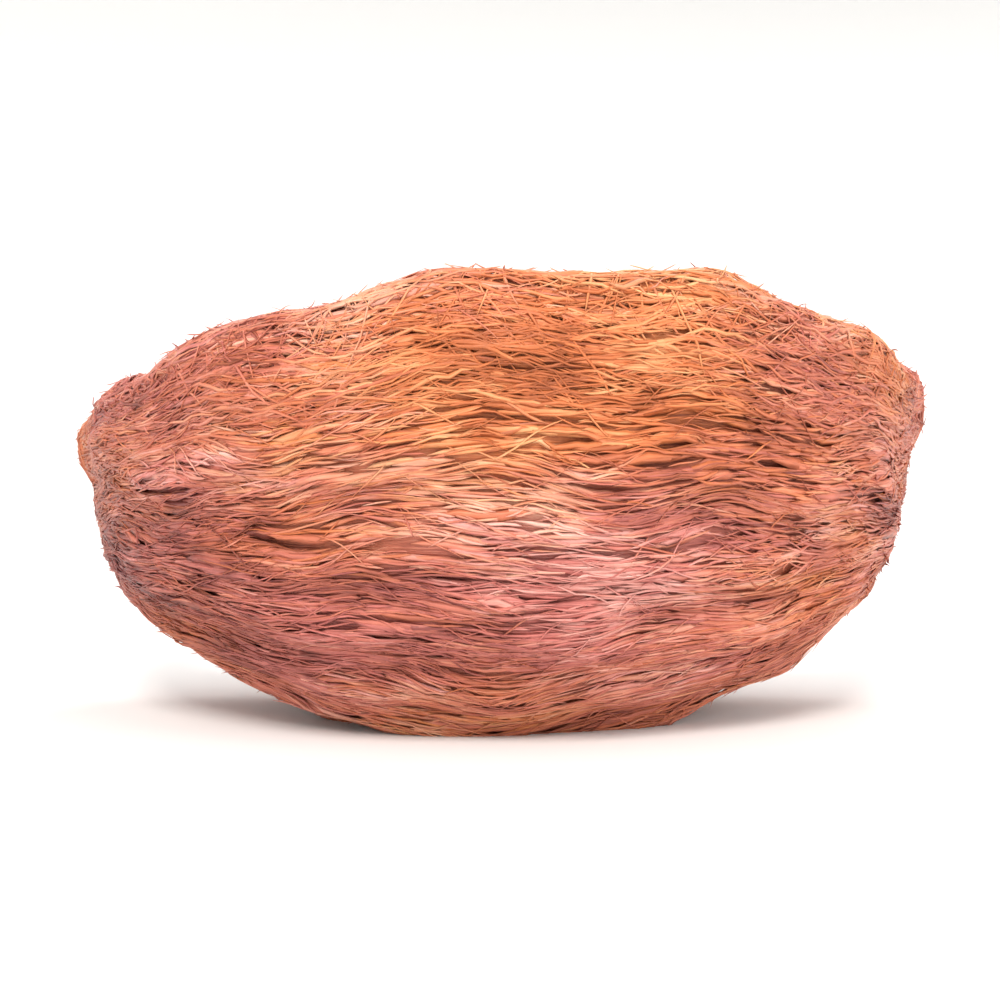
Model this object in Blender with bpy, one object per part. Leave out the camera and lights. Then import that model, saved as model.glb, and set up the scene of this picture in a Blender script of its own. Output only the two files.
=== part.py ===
# A single edible nest: a half cup of hardened strands that was built against a wall.
# The cup opens upwards, its flat wall face looks along +Y and its belly faces -Y.
# It stands on a small flat spot under the belly. Metres, +Z up, origin under the middle of its box.
# Below, turn is the angle round the belly, 0 at the right foot and half a turn at the left one,
# and share is the share of the way up from the wall to the rim, 0 to 1.

import math

import bmesh
import bpy

MM = 0.001
HALF_TURN = math.pi

# Driving sizes
FOOT_SPAN = 80 * MM  # across the two feet, before they flare on the wall
BELLY_DEPTH = 47 * MM  # wall face to the front of the belly
RIM_HEIGHT = 41 * MM  # top of the rim at the middle of the front
FOOT_HEIGHT = 29 * MM  # where the rim meets the wall
WALL = 2.8 * MM  # thickness of the belly

# The rim
RIM_EXTRA = 2.4 * MM  # how much thicker the wall gets as it nears the rim
RIM_START = 0.72  # share at which it starts to thicken
RIM_ROLL = 1.8 * MM  # how far the rolled rim stands up above its two edges
ROLL_POWER = 0.7  # below 1 the roll is fuller than a sine
ARCH_POWER = 1.6  # how soon the rim rises from its feet: lower is a flatter arch
ARCH_SKEW = 0.14  # how far the rim's highest part leans towards the right foot
FOOT_TILT = 2.2 * MM  # the right foot sits this much higher than the middle, and the left one lower
RIM_WAVE = 0.5 * MM  # small rises and dips along the rim
RIM_WAVE_PITCH = 11
RIM_WAVE_PHASE = 2
RIM_KEEP = 3  # power of the share, which keeps the tilt and the waves near the rim

# The belly's middle profile is part of an ellipse that rests on its lowest point
LOW_POINT = 23.5 * MM  # wall face to the lowest point
HULL_CENTRE = 33 * MM  # height of the ellipse's centre
HULL_BACK = 36 * MM  # its half length behind the lowest point
KEEL_HALF = 23.5 * MM  # half width of the lowest strand, where it lies on the wall
WIDTH_POWER = 0.32  # how fast the strands get wider above it: lower is fuller
END_POWER = 2.8  # how late their ends rise up the wall: higher is steeper
KEEL_RISE = 2.4 * MM  # how much higher the two ends of the lowest strand lie than its middle
PRESSED = 0.8 * MM  # depth of the flat spot pressed into the belly
PRESS_BLEND = 1.6 * MM  # height over which the flat spot fades into the belly

# The feet spread out where they were stuck to the wall
FOOT_FLARE = 2.6 * MM
FLARE_DEPTH = 6 * MM
FOOT_PAD = 6 * MM  # extra thickness of a foot, towards the inside of the cup
PAD_DEPTH = 9 * MM
PAD_POWER = 0.6  # how fast the pad grows with the share
PAD_SWELL = 0.16  # part of the pad that comes and goes up the foot
PAD_PITCH = 7
PAD_SHIFT = 1.3  # the swelling lies this much higher on one foot than on the other
FOOT_ROLL = 1.3 * MM  # how much further the rolled rim stands up on a foot

# Broad unevenness: waves of falling size, whose phases the golden angle scatters
LUMP = 0.75 * MM
LUMP_ORDERS = (1, 2, 3, 4, 5)
LUMP_PITCH = 1.3
LUMP_DRIFT = 2.6  # how far the waves slide as the share grows
LUMP_DRIFT_PITCH = 3.1
GOLDEN = 2.39996
SWAY = 0.9 * MM  # slow rise and fall of a whole strand on its way round
SWAY_TURN = 4.0  # where in the waves the sway starts
SWAY_SHARE = 0.2

# Ridges: bundles of strands that run from foot to foot
RIDGE = 0.36 * MM
RIDGE_COUNT = 9
RIDGE_END = 0.5  # power of the sine of the turn, which fades them into the feet
WANDERS = ((2.1, 0.6, 0.0, 1.21), (5.3, 0.0, 4.0, 0.66))  # pitch, phase, drift with the share, size

# Ledges, where one laid course of strands ends over the next
LEDGES = (  # start and end as shares of the way round, share of the line, height
    (0.50, 0.97, 0.84, 1.20 * MM),
    (0.06, 0.58, 0.74, 0.95 * MM),
    (0.34, 0.92, 0.62, 1.00 * MM),
    (0.05, 0.50, 0.50, 0.85 * MM),
    (0.42, 0.96, 0.40, 0.75 * MM),
    (0.15, 0.66, 0.31, 0.65 * MM),
)
LEDGE_END = 0.12  # share of the way round over which a ledge fades at each end
LEDGE_RISE = 0.03  # share over which it rises
LEDGE_FADE = 0.15  # share over which it fades upwards
LEDGE_BOW = 0.03
LEDGE_BOW_PITCH = 2.3
LEDGE_RIPPLE = 0.018
LEDGE_RIPPLE_PITCH = 9
LEDGE_SCATTER = 40  # gives each ledge a ripple of its own
LIP = 0.9 * MM  # how far the lip under the rim stands proud
LIP_START = 0.88
LIP_RISE = 0.06

# How the relief acts on the shell
KEEL_FADE = 0.12  # share over which it dies out towards the wall
SIDE_RELIEF = 0.25  # least part of it that also widens the nest
INNER_LUMP = 0.6  # part of the lumps and of the ridges that shows inside the cup
INNER_RIDGE = 0.5
INNER_TURN = 1.9  # how far the inner waves lie from the outer ones
INNER_SHARE = 0.4

# Mesh density
STATIONS = 66  # from the right foot to the left one
OUTER_ROWS = 33
ROLL_ROWS = 6
INNER_ROWS = 20
SHARP_ANGLE = math.radians(50)


def smooth(x):
    """0 below 0, 1 above 1, and a smooth rise between them."""
    x = min(1.0, max(0.0, x))
    return x * x * (3 - 2 * x)


def thickness(share):
    """The wall's thickness, which grows into the rim."""
    return WALL + RIM_EXTRA * smooth((share - RIM_START) / (1 - RIM_START))


def hull(share, thin):
    """Depth from the wall, height and angle of the middle profile, which is part of an ellipse. thin is
    how far the profile lies inside the outer one."""
    front, back = BELLY_DEPTH - LOW_POINT - thin, HULL_BACK - thin
    up = HULL_CENTRE - thin
    start = -math.asin(LOW_POINT / back)
    end = HALF_TURN - math.acos((RIM_HEIGHT - HULL_CENTRE) / HULL_CENTRE)
    angle = start + (end - start) * share
    reach = front if angle > 0 else back
    return LOW_POINT + reach * math.sin(angle), HULL_CENTRE - up * math.cos(angle), angle


def half_width(share):
    """Half the distance between the two ends of the strand at this share."""
    return KEEL_HALF + (FOOT_SPAN / 2 - KEEL_HALF) * math.sin(HALF_TURN / 2 * share) ** WIDTH_POWER


def end_height(share, keel_height):
    """Height at which that strand meets the wall."""
    corner = keel_height + KEEL_RISE
    return corner + (FOOT_HEIGHT - corner) * share**END_POWER


def lumps(turn, share):
    """Broad unevenness, from -1 to 1."""
    total = 0.0
    for k in LUMP_ORDERS:
        drift = LUMP_DRIFT * math.sin(k + LUMP_DRIFT_PITCH * share)
        total += math.sin(LUMP_PITCH * k * turn + GOLDEN * k * k + drift) / k
    return total / sum(1 / k for k in LUMP_ORDERS)


def ridges(turn, share):
    """Waves across the share that wander along the belly and fade into the feet, from -1 to 1."""
    wander = sum(size * math.sin(pitch * turn + phase + drift * share)
                 for pitch, phase, drift, size in WANDERS)
    return math.sin(2 * HALF_TURN * RIDGE_COUNT * share + wander) * max(0.0, math.sin(turn)) ** RIDGE_END


def ledges(turn, share):
    """Height of the ledges: each rises at once at its line and fades above it and at its two ends."""
    total = 0.0
    along = turn / HALF_TURN
    for start, end, line, height in LEDGES:
        ripple = LEDGE_RIPPLE * math.sin(LEDGE_RIPPLE_PITCH * turn + LEDGE_SCATTER * line)
        above = share - line - ripple - LEDGE_BOW * math.sin(LEDGE_BOW_PITCH * turn)
        window = smooth((along - start) / LEDGE_END) * smooth((end - along) / LEDGE_END)
        total += height * window * smooth(above / LEDGE_RISE) * (1 - smooth(above / LEDGE_FADE))
    return total


def outer_relief(turn, share):
    lip = LIP * smooth((share - LIP_START) / LIP_RISE)
    return LUMP * lumps(turn, share) + RIDGE * ridges(turn, share) + ledges(turn, share) + lip


def inner_relief(turn, share):
    lump = INNER_LUMP * LUMP * lumps(turn + INNER_TURN, share + INNER_SHARE)
    return lump + INNER_RIDGE * RIDGE * ridges(turn, share + INNER_SHARE)


def foot_pad(turn, share, y):
    """Extra thickness of a foot, which swells a little and dies out away from the wall."""
    swell = 1 + PAD_SWELL * math.sin(PAD_PITCH * share + PAD_SHIFT * math.cos(turn))
    return FOOT_PAD * swell * share**PAD_POWER * math.exp(-((y / PAD_DEPTH) ** 2))


def press(z):
    """Flattens what lies below the pressed height, and lowers the belly just above it to meet it."""
    if z <= PRESSED:
        return 0.0
    return z - PRESSED * math.exp(-(z - PRESSED) / PRESS_BLEND)


def shell_point(turn, share, thin, relief):
    """A point of the shell: a half ellipse from foot to foot at each share, moved by the relief. thin is
    0 outside, and the wall's thickness inside."""
    depth, middle, angle = hull(share, thin)
    keel = hull(0.0, thickness(0.0) if thin else 0.0)[1]
    # The relief moves a point straight out of the belly, but never off the wall
    off_wall = smooth(share / KEEL_FADE)
    depth += relief * math.sin(angle) * off_wall
    y = -depth * math.sin(turn)

    width = half_width(share) - thin
    width += relief * max(SIDE_RELIEF, math.sin(max(angle, 0.0)))
    width += FOOT_FLARE * math.exp(y / FLARE_DEPTH) * share
    if thin > 0:
        width -= foot_pad(turn, share, y)

    arch = max(0.0, math.sin(turn)) ** ARCH_POWER * (1 + ARCH_SKEW * share * math.cos(turn))
    z = end_height(share, keel) * (1 - arch) + middle * arch
    wave = RIM_WAVE * math.sin(RIM_WAVE_PITCH * turn + RIM_WAVE_PHASE)
    z += (FOOT_TILT * math.cos(turn) + wave) * share**RIM_KEEP
    z -= relief * math.cos(angle) * off_wall
    z += SWAY * share * lumps(turn + SWAY_TURN, SWAY_SHARE)
    return width * math.cos(turn), y, press(z)


def section(turn):
    """The wall's cross-section at one station: up the outside, over the rolled rim and down the inside."""
    rows = [i / OUTER_ROWS for i in range(OUTER_ROWS + 1)]
    outside = [shell_point(turn, s, 0.0, outer_relief(turn, s)) for s in rows]
    rows = [1 - i / INNER_ROWS for i in range(INNER_ROWS + 1)]
    inside = [shell_point(turn, s, thickness(s), -inner_relief(turn, s)) for s in rows]
    roll = []
    for i in range(1, ROLL_ROWS):
        w = i / ROLL_ROWS
        x, y, z = (a + (b - a) * w for a, b in zip(outside[-1], inside[0]))
        height = RIM_ROLL + FOOT_ROLL * math.exp(-((y / PAD_DEPTH) ** 2))
        roll.append((x, y, z + height * math.sin(HALF_TURN * w) ** ROLL_POWER))
    return outside + roll + inside


def loft(sections):
    """One closed skin over the sections, with a flat cap on each end."""
    bm = bmesh.new()
    rings = [[bm.verts.new(p) for p in points] for points in sections]
    for ring, following in zip(rings, rings[1:]):
        for i in range(len(ring)):
            j = (i + 1) % len(ring)
            bm.faces.new((ring[i], ring[j], following[j], following[i]))
    for ring in (rings[0], rings[-1]):
        bm.faces.new(ring)
    bmesh.ops.recalc_face_normals(bm, faces=bm.faces[:])
    return bm


def centre_on_base(bm):
    """Moves the nest so that the origin lies under the middle of its box."""
    for axis in (0, 1):
        places = [vertex.co[axis] for vertex in bm.verts]
        middle = (min(places) + max(places)) / 2
        for vertex in bm.verts:
            vertex.co[axis] -= middle


def strand_material():
    material = bpy.data.materials.new("dried_strands")
    material.use_nodes = True
    shader = material.node_tree.nodes["Principled BSDF"]
    shader.inputs["Base Color"].default_value = (0.52, 0.19, 0.09, 1)
    shader.inputs["Roughness"].default_value = 0.55
    shader.inputs["Metallic"].default_value = 0.0
    return material


def make_nest():
    """The whole nest, which its bird laid down as one piece."""
    turns = [HALF_TURN * i / STATIONS for i in range(STATIONS + 1)]
    bm = loft([section(turn) for turn in turns])
    centre_on_base(bm)
    mesh = bpy.data.meshes.new("nest")
    bm.to_mesh(mesh)
    bm.free()
    mesh.shade_smooth()
    mesh.set_sharp_from_angle(angle=SHARP_ANGLE)
    mesh.materials.append(strand_material())
    nest = bpy.data.objects.new("nest", mesh)
    bpy.context.scene.collection.objects.link(nest)
    return nest


def main():
    for obj in list(bpy.data.objects):
        bpy.data.objects.remove(obj)
    make_nest()


main()
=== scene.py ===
import math
import bpy
import numpy as np
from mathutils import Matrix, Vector


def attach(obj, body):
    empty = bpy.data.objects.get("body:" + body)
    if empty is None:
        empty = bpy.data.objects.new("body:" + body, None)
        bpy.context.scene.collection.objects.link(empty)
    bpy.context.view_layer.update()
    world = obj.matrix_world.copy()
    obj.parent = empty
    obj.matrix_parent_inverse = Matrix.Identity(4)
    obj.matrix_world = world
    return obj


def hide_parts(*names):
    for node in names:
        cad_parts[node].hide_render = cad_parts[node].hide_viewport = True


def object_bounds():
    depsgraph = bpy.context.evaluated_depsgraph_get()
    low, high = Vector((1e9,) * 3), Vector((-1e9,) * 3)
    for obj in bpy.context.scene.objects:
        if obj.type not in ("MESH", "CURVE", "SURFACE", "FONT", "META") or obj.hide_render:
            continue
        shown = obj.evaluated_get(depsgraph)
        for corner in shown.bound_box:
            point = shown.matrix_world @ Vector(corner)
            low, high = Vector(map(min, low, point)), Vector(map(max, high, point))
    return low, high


# The looks of one dried nest: a half cup of matted strands.
# Lengths times mm are in metres, and so are those of the studio. The other lengths, of reliefs and strands,
# are in mm.
# turn is the angle round the belly, 0 at the right foot and pi at the left one.
# share is the share of the way up from the wall (0) to the rim (1).

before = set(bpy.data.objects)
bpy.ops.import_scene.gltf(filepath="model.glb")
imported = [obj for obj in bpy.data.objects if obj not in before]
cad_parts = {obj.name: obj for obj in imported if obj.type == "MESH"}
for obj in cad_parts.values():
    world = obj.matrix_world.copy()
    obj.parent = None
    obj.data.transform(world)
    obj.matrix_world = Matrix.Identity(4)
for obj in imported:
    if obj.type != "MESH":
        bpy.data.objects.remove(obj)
cadLow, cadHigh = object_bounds()
mm = 0.001
print("frame loaded, nest is", [round((b - a) / mm, 1) for a, b in zip(cadLow, cadHigh)], "mm")


# 1. The shell's form, the same formulas as the solid's

nestForm = {
    "footSpan": 80 * mm, "bellyDepth": 47 * mm, "rimHeight": 41 * mm, "footHeight": 29 * mm,
    "wall": 2.8 * mm, "rimExtra": 2.4 * mm, "rimStart": 0.72, "rimRoll": 1.8 * mm, "rollPower": 0.7,
    "archPower": 1.6, "archSkew": 0.14, "footTilt": 2.2 * mm,
    "rimWave": 0.5 * mm, "rimWavePitch": 11, "rimWavePhase": 2, "rimKeep": 3,
    "lowPoint": 23.5 * mm, "hullCentre": 33 * mm, "hullBack": 36 * mm,
    "keelHalf": 23.5 * mm, "widthPower": 0.32, "endPower": 2.8, "keelRise": 2.4 * mm,
    "pressed": 0.8 * mm, "pressBlend": 1.6 * mm,
    "footFlare": 2.6 * mm, "flareDepth": 6 * mm, "footPad": 6 * mm, "padDepth": 9 * mm, "padPower": 0.6,
    "padSwell": 0.16, "padPitch": 7, "padShift": 1.3, "footRoll": 1.3 * mm, "domeFrom": 0.6,
    "lump": 0.75 * mm, "lumpCount": 5, "lumpPitch": 1.3, "lumpDrift": 2.6, "lumpDriftPitch": 3.1,
    "golden": 2.39996,  # phase between one lump wave and the next
    "sway": 0.9 * mm, "swayTurn": 4.0, "swayShare": 0.2,
    "ridge": 0.36 * mm, "ridgeCount": 9, "ridgeEnd": 0.5,
    "wanders": ((2.1, 0.6, 0.0, 1.21), (5.3, 0.0, 4.0, 0.66)),  # pitch, phase, drift, size
    "ledges": (  # start and end as shares of the way round, share of the line, height
        (0.50, 0.97, 0.84, 1.20 * mm), (0.06, 0.58, 0.74, 0.95 * mm), (0.34, 0.92, 0.62, 1.00 * mm),
        (0.05, 0.50, 0.50, 0.85 * mm), (0.42, 0.96, 0.40, 0.75 * mm), (0.15, 0.66, 0.31, 0.65 * mm)),
    "ledgeEnd": 0.12, "ledgeRise": 0.03, "ledgeFade": 0.15, "ledgeBow": 0.03, "ledgeBowPitch": 2.3,
    "ledgeRipple": 0.018, "ledgeRipplePitch": 9, "ledgeScatter": 40,
    "lip": 0.9 * mm, "lipStart": 0.88, "lipRise": 0.06,
    "keelFade": 0.12, "sideRelief": 0.25,
    "innerLump": 0.6, "innerRidge": 0.5, "innerTurn": 1.9, "innerShare": 0.4,
    "grid": (67, 34),  # points round and up that find the shell's middle
}


def smoothStep(x):
    # 0 below 0, 1 above 1, and 3x^2 - 2x^3 between them
    x = np.clip(x, 0.0, 1.0)
    return x * x * (3 - 2 * x)


def wallThickness(share):
    # the wall, which grows by a smooth step towards the rim
    f = nestForm
    return f["wall"] + f["rimExtra"] * smoothStep((share - f["rimStart"]) / (1 - f["rimStart"]))


def hullProfile(share, thin):
    # the middle profile is part of an ellipse: depth = low + reach sin a, height = centre - up cos a
    f = nestForm
    front, back = f["bellyDepth"] - f["lowPoint"] - thin, f["hullBack"] - thin
    start = -np.arcsin(f["lowPoint"] / back)
    end = math.pi - math.acos((f["rimHeight"] - f["hullCentre"]) / f["hullCentre"])
    angle = start + (end - start) * share
    reach = np.where(angle > 0, front, back)
    return (f["lowPoint"] + reach * np.sin(angle),
            f["hullCentre"] - (f["hullCentre"] - thin) * np.cos(angle), angle)


def lumpWaves(turn, share):
    # sine waves of falling size, each with its own phase, from -1 to 1
    f = nestForm
    total, norm = 0.0, 0.0
    for k in range(1, f["lumpCount"] + 1):
        drift = f["lumpDrift"] * np.sin(k + f["lumpDriftPitch"] * share)
        total = total + np.sin(f["lumpPitch"] * k * turn + f["golden"] * k * k + drift) / k
        norm += 1 / k
    return total / norm


def ridgeWaves(turn, share):
    # waves across the share that wander along the belly and fade into the feet
    f = nestForm
    wander = sum(size * np.sin(pitch * turn + phase + drift * share)
                 for pitch, phase, drift, size in f["wanders"])
    wave = np.sin(2 * math.pi * f["ridgeCount"] * share + wander)
    return wave * np.clip(np.sin(turn), 0, 1) ** f["ridgeEnd"]


def ledgeSteps(turn, share):
    # each ledge rises at once at its line and fades above it and at its two ends
    f = nestForm
    along, total = turn / math.pi, 0.0
    for start, end, line, height in f["ledges"]:
        ripple = f["ledgeRipple"] * np.sin(f["ledgeRipplePitch"] * turn + f["ledgeScatter"] * line)
        above = share - line - ripple - f["ledgeBow"] * np.sin(f["ledgeBowPitch"] * turn)
        window = smoothStep((along - start) / f["ledgeEnd"]) * smoothStep((end - along) / f["ledgeEnd"])
        total = total + height * window * smoothStep(above / f["ledgeRise"]) * (
            1 - smoothStep(above / f["ledgeFade"]))
    return total


def shellPoint(turn, share, inside):
    # half ellipses from foot to foot at each share, moved by the broad relief; returns an (..., 3) array
    f = nestForm
    if inside:
        thin = wallThickness(share)
        keel = hullProfile(0.0, f["wall"])[1]
        relief = -(f["innerLump"] * f["lump"] * lumpWaves(turn + f["innerTurn"], share + f["innerShare"])
                   + f["innerRidge"] * f["ridge"] * ridgeWaves(turn, share + f["innerShare"]))
    else:
        thin = 0.0
        keel = hullProfile(0.0, 0.0)[1]
        relief = (f["lump"] * lumpWaves(turn, share) + f["ridge"] * ridgeWaves(turn, share)
                  + ledgeSteps(turn, share) + f["lip"] * smoothStep((share - f["lipStart"]) / f["lipRise"]))
    depth, middle, angle = hullProfile(share, thin)
    offWall = smoothStep(share / f["keelFade"])
    y = -(depth + relief * np.sin(angle) * offWall) * np.sin(turn)

    fullness = np.sin(math.pi / 2 * np.clip(share, 0, 1)) ** f["widthPower"]
    width = f["keelHalf"] + (f["footSpan"] / 2 - f["keelHalf"]) * fullness - thin
    width = width + relief * np.maximum(f["sideRelief"], np.sin(np.maximum(angle, 0)))
    width = width + f["footFlare"] * np.exp(np.minimum(y, 0) / f["flareDepth"]) * share
    if inside:
        swell = 1 + f["padSwell"] * np.sin(f["padPitch"] * share + f["padShift"] * np.cos(turn))
        width = width - f["footPad"] * swell * np.clip(share, 0, 1) ** f["padPower"] * np.exp(
            -((y / f["padDepth"]) ** 2))

    arch = np.clip(np.sin(turn), 0, 1) ** f["archPower"] * (1 + f["archSkew"] * share * np.cos(turn))
    corner = keel + f["keelRise"]
    ends = corner + (f["footHeight"] - corner) * np.clip(share, 0, 1) ** f["endPower"]
    z = ends * (1 - arch) + middle * arch
    wave = f["rimWave"] * np.sin(f["rimWavePitch"] * turn + f["rimWavePhase"])
    z = z + (f["footTilt"] * np.cos(turn) + wave) * share ** f["rimKeep"]
    z = z - relief * np.cos(angle) * offWall
    z = z + f["sway"] * share * lumpWaves(turn + f["swayTurn"], f["swayShare"])
    above = np.maximum(z - f["pressed"], 0)
    z = np.where(z <= f["pressed"], 0.0, z - f["pressed"] * np.exp(-above / f["pressBlend"]))
    return np.stack(np.broadcast_arrays(width * np.cos(turn), y, z), axis=-1)


# The raw shell has its wall face at y = 0, and is moved to where the frame has it
gridRound, gridUp = nestForm["grid"]
coarseTurn, coarseShare = np.meshgrid(
    np.linspace(0, math.pi, gridRound), np.linspace(0, 1, gridUp), indexing="ij")
rawX = shellPoint(coarseTurn, coarseShare, False)[..., 0]
shellShift = np.array([(cadLow.x + cadHigh.x - rawX.min() - rawX.max()) / 2, cadHigh.y, 0.0])
wallY = cadHigh.y


# 2. Noise and the flow of the strands, in mm along and across them

latticeSize = 256


def valueNoise(u, v, seed):
    # random numbers from -1 to 1 on a square lattice, blended with a smooth step
    lattice = np.random.default_rng(seed).uniform(-1, 1, (latticeSize, latticeSize))
    u, v = np.broadcast_arrays(u, v)
    column, row = np.floor(u).astype(int), np.floor(v).astype(int)
    aside, upward = smoothStep(u - column), smoothStep(v - row)

    def corner(i, j):
        return lattice[(column + i) % latticeSize, (row + j) % latticeSize]

    near = corner(0, 0) * (1 - aside) + corner(1, 0) * aside
    far = corner(0, 1) * (1 - aside) + corner(1, 1) * aside
    return near * (1 - upward) + far * upward


def layeredNoise(base, layers, along, across, seed):
    # the base plus layers of noise, each with its size, its length along and its length across
    for k, (size, longWay, crossWay) in enumerate(layers):
        base = base + size * valueNoise(along / longWay, across / crossWay, seed + k)
    return base


ridgeSharpness = 2.6


def ridgedNoise(u, v, seed):
    # 1 along the lines where the noise is 0, and falling by the size of the noise to both sides of them
    return 1 - ridgeSharpness * np.abs(valueNoise(u, v, seed))


strandFlow = {
    "profileMm": 74.0,  # length of the middle profile from the wall to the rim
    "keelReachMm": 13.0, "rimReachMm": 44.0,  # strand length over turn at share 0 and at share 1
    "reachPower": 0.6,
    "wanders": ((1.5, 12.0, 8.0), (0.30, 4.5, 2.6)), "wanderSeed": 40,  # size, and length along and across
}


def reachMm(share):
    # mm along a strand for each radian of turn, which grows from the keel to the rim as a power of a sine
    f = strandFlow
    return f["keelReachMm"] + (f["rimReachMm"] - f["keelReachMm"]) * np.sin(
        math.pi / 2 * np.clip(share, 0, 1)) ** f["reachPower"]


def alongAcross(turn, share):
    # turn from the middle of the belly times the reach, and share times the length of the profile
    return (turn - math.pi / 2) * reachMm(share), share * strandFlow["profileMm"]


def wander(along, across):
    # how far the strands stray up and down from lines of one share, in mm
    return layeredNoise(0.0, strandFlow["wanders"], along, across, strandFlow["wanderSeed"])


slitPlan = {
    "chosen": (  # place as shares of the way round and up, length, slant, opening
        (0.78, 0.82, 16.0, 0.06, 0.60), (0.66, 0.73, 10.0, 0.12, 0.36), (0.40, 0.80, 12.0, -0.04, 0.28),
        (0.29, 0.62, 13.0, 0.06, 0.36), (0.57, 0.57, 11.0, -0.05, 0.36), (0.82, 0.58, 10.0, 0.10, 0.42),
        (0.15, 0.78, 9.0, -0.10, 0.32), (0.48, 0.40, 14.0, 0.05, 0.36)),
    "scattered": 26, "seed": 6,  # how many more there are, and their spans
    "wayRound": (0.13, 0.87), "wayUp": (0.14, 0.93), "length": (3.0, 9.0), "slant": 0.08,
    "opening": (0.12, 0.34),
    "wave": (0.2, 2.1, 9),  # size and length of the line's wave, and how its phase scatters
    "reach": 1.3,  # how far neighbours give way
    "catch": 1.0,  # how far past the line they still come back
    "core": 0.42, "depth": 1.0, "lip": 0.55, "lipReach": 1.6,  # the last one in reaches
    "fullOpening": 0.6,
}


def placeSlits():
    # the chosen slits, and scattered ones with random places, lengths, slants and openings
    f, draw = slitPlan, np.random.default_rng(slitPlan["seed"])
    n = f["scattered"]
    wayRound, wayUp, length = (draw.uniform(*f[key], n) for key in ("wayRound", "wayUp", "length"))
    slant = draw.normal(0, f["slant"], n)
    opening = draw.uniform(*f["opening"], n)
    scattered = np.stack([wayRound, wayUp, length, slant, opening], axis=-1)
    return np.concatenate([np.array(f["chosen"]), scattered])


def nearSlit(slit, along, across):
    # the distance from a slit's line, which is slanted and waves as a sine, and a window that is 1 along its
    # middle half and 0 past its ends
    wayRound, share, length, slant = slit[:4]
    size, pitch, scatter = slitPlan["wave"]
    along0, across0 = alongAcross(wayRound * math.pi, share)
    off = along - along0
    distance = across - across0 - slant * off - size * np.sin(off / pitch + scatter * wayRound)
    return distance, smoothStep(2 - 4 * np.abs(off) / length)


def slitFields(along, across):
    # how open the slits are, by exp of the distance squared, and how much their upper lips lift
    f = slitPlan
    dark, lip = (np.zeros(np.broadcast(along, across).shape) for _ in range(2))
    for slit in placeSlits():
        distance, window = nearSlit(slit, along, across)
        dark = dark + window * np.exp(-(distance / f["core"]) ** 2) * slit[4] / f["fullOpening"]
        fading = np.exp(-distance / (f["lipReach"] * f["reach"]))
        lip = lip + window * slit[4] * np.where(distance > 0, fading, 0)
    return np.clip(dark, 0, 1), lip


def giveWay(along, across):
    # moves whole strands to one side of each slit: what lies past its line comes back to it, and all is
    # pushed out by the opening times exp of the distance
    f = slitPlan
    for slit in placeSlits():
        distance, window = nearSlit(slit, along, across)
        side = np.where((distance * window).sum(axis=1, keepdims=True) < 0, -1.0, 1.0)
        past = np.maximum(-side * distance, 0)
        push = slit[4] * np.exp(-np.maximum(side * distance, 0) / f["reach"])
        close = np.exp(-np.maximum(past - f["catch"], 0))
        across = across + side * window * close * (past + push)
    return across


bellyRelief = {
    # size, length along and width across of the ridges that lie like strands
    "ridges": ((0.22, 13.0, 2.3), (0.16, 8.0, 1.25), (0.10, 5.0, 0.75)), "ridgeSeed": 50,
    "courseWidth": 5.2, "courseHeight": 0.50, "courseRise": 0.14, "coursePower": 1.3,
    "courseWander": (0.9, 13, 8), "courseSeed": 57,
    "uneven": (0.6, 0.6, 9, 3.7), "unevenSeed": 58,  # least height, change, length along, step per course
    "dent": (0.35, 7.0, 5.0), "dentSeed": 59, "wallFade": 0.05, "sunk": 0.44,
    "footKeep": 0.3, "footFade": 0.07,  # what is left of fine relief at the wall, and how soon it is full
}


def footFade(turn):
    # most of the fine relief fades over the last millimetres before the wall
    f = bellyRelief
    return f["footKeep"] + (1 - f["footKeep"]) * smoothStep(np.sin(turn) / f["footFade"])


def bellyFine(turn, share, deep=True):
    # fine relief of the outside in metres: courses that rise at once and fall as a power, and dents; where
    # deep, also ridged noise along the strands and the slits between them
    f = bellyRelief
    along, across = alongAcross(turn, share)
    bent = across + wander(along, across)
    course = layeredNoise(bent / f["courseWidth"], (f["courseWander"],), along, across, f["courseSeed"])
    step = course - np.floor(course)
    saw = smoothStep(step / f["courseRise"]) * (1 - step) ** f["coursePower"]
    least, change, longWay, jump = f["uneven"]
    total = f["courseHeight"] * saw * (
        least + change * valueNoise(along / longWay, np.floor(course) * jump, f["unevenSeed"]))
    total = layeredNoise(total, (f["dent"],), along, across, f["dentSeed"])
    dark, lip = slitFields(along, across)
    total = total + slitPlan["lip"] * lip
    if deep:
        for k, (size, longWay, wide) in enumerate(f["ridges"]):
            total = total + size * ridgedNoise(along / longWay, bent / wide, f["ridgeSeed"] + k)
        total = total - slitPlan["depth"] * dark - f["sunk"]
    return total * mm * smoothStep(share / f["wallFade"]) * footFade(turn)


cupRelief = {
    # size, length along, width across and slant of the crossing ridges, which bend by one layer of noise
    "weave": ((0.30, 7.0, 2.1, 0.5), (0.26, 6.0, 1.9, -0.6), (0.18, 4.0, 1.0, 1.2)), "weaveSeed": 80,
    "bend": (0.8, 5, 4), "bendSeed": 70,
    "pit": 0.5, "pitLong": 1.9, "pitWide": 1.5, "pitFrom": 0.45, "pitRise": 0.3, "pitSeed": 90,
    "dent": (0.5, 6.0, 5.0), "dentSeed": 69, "wallFade": 0.05, "sunk": 1.05,
}


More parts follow.
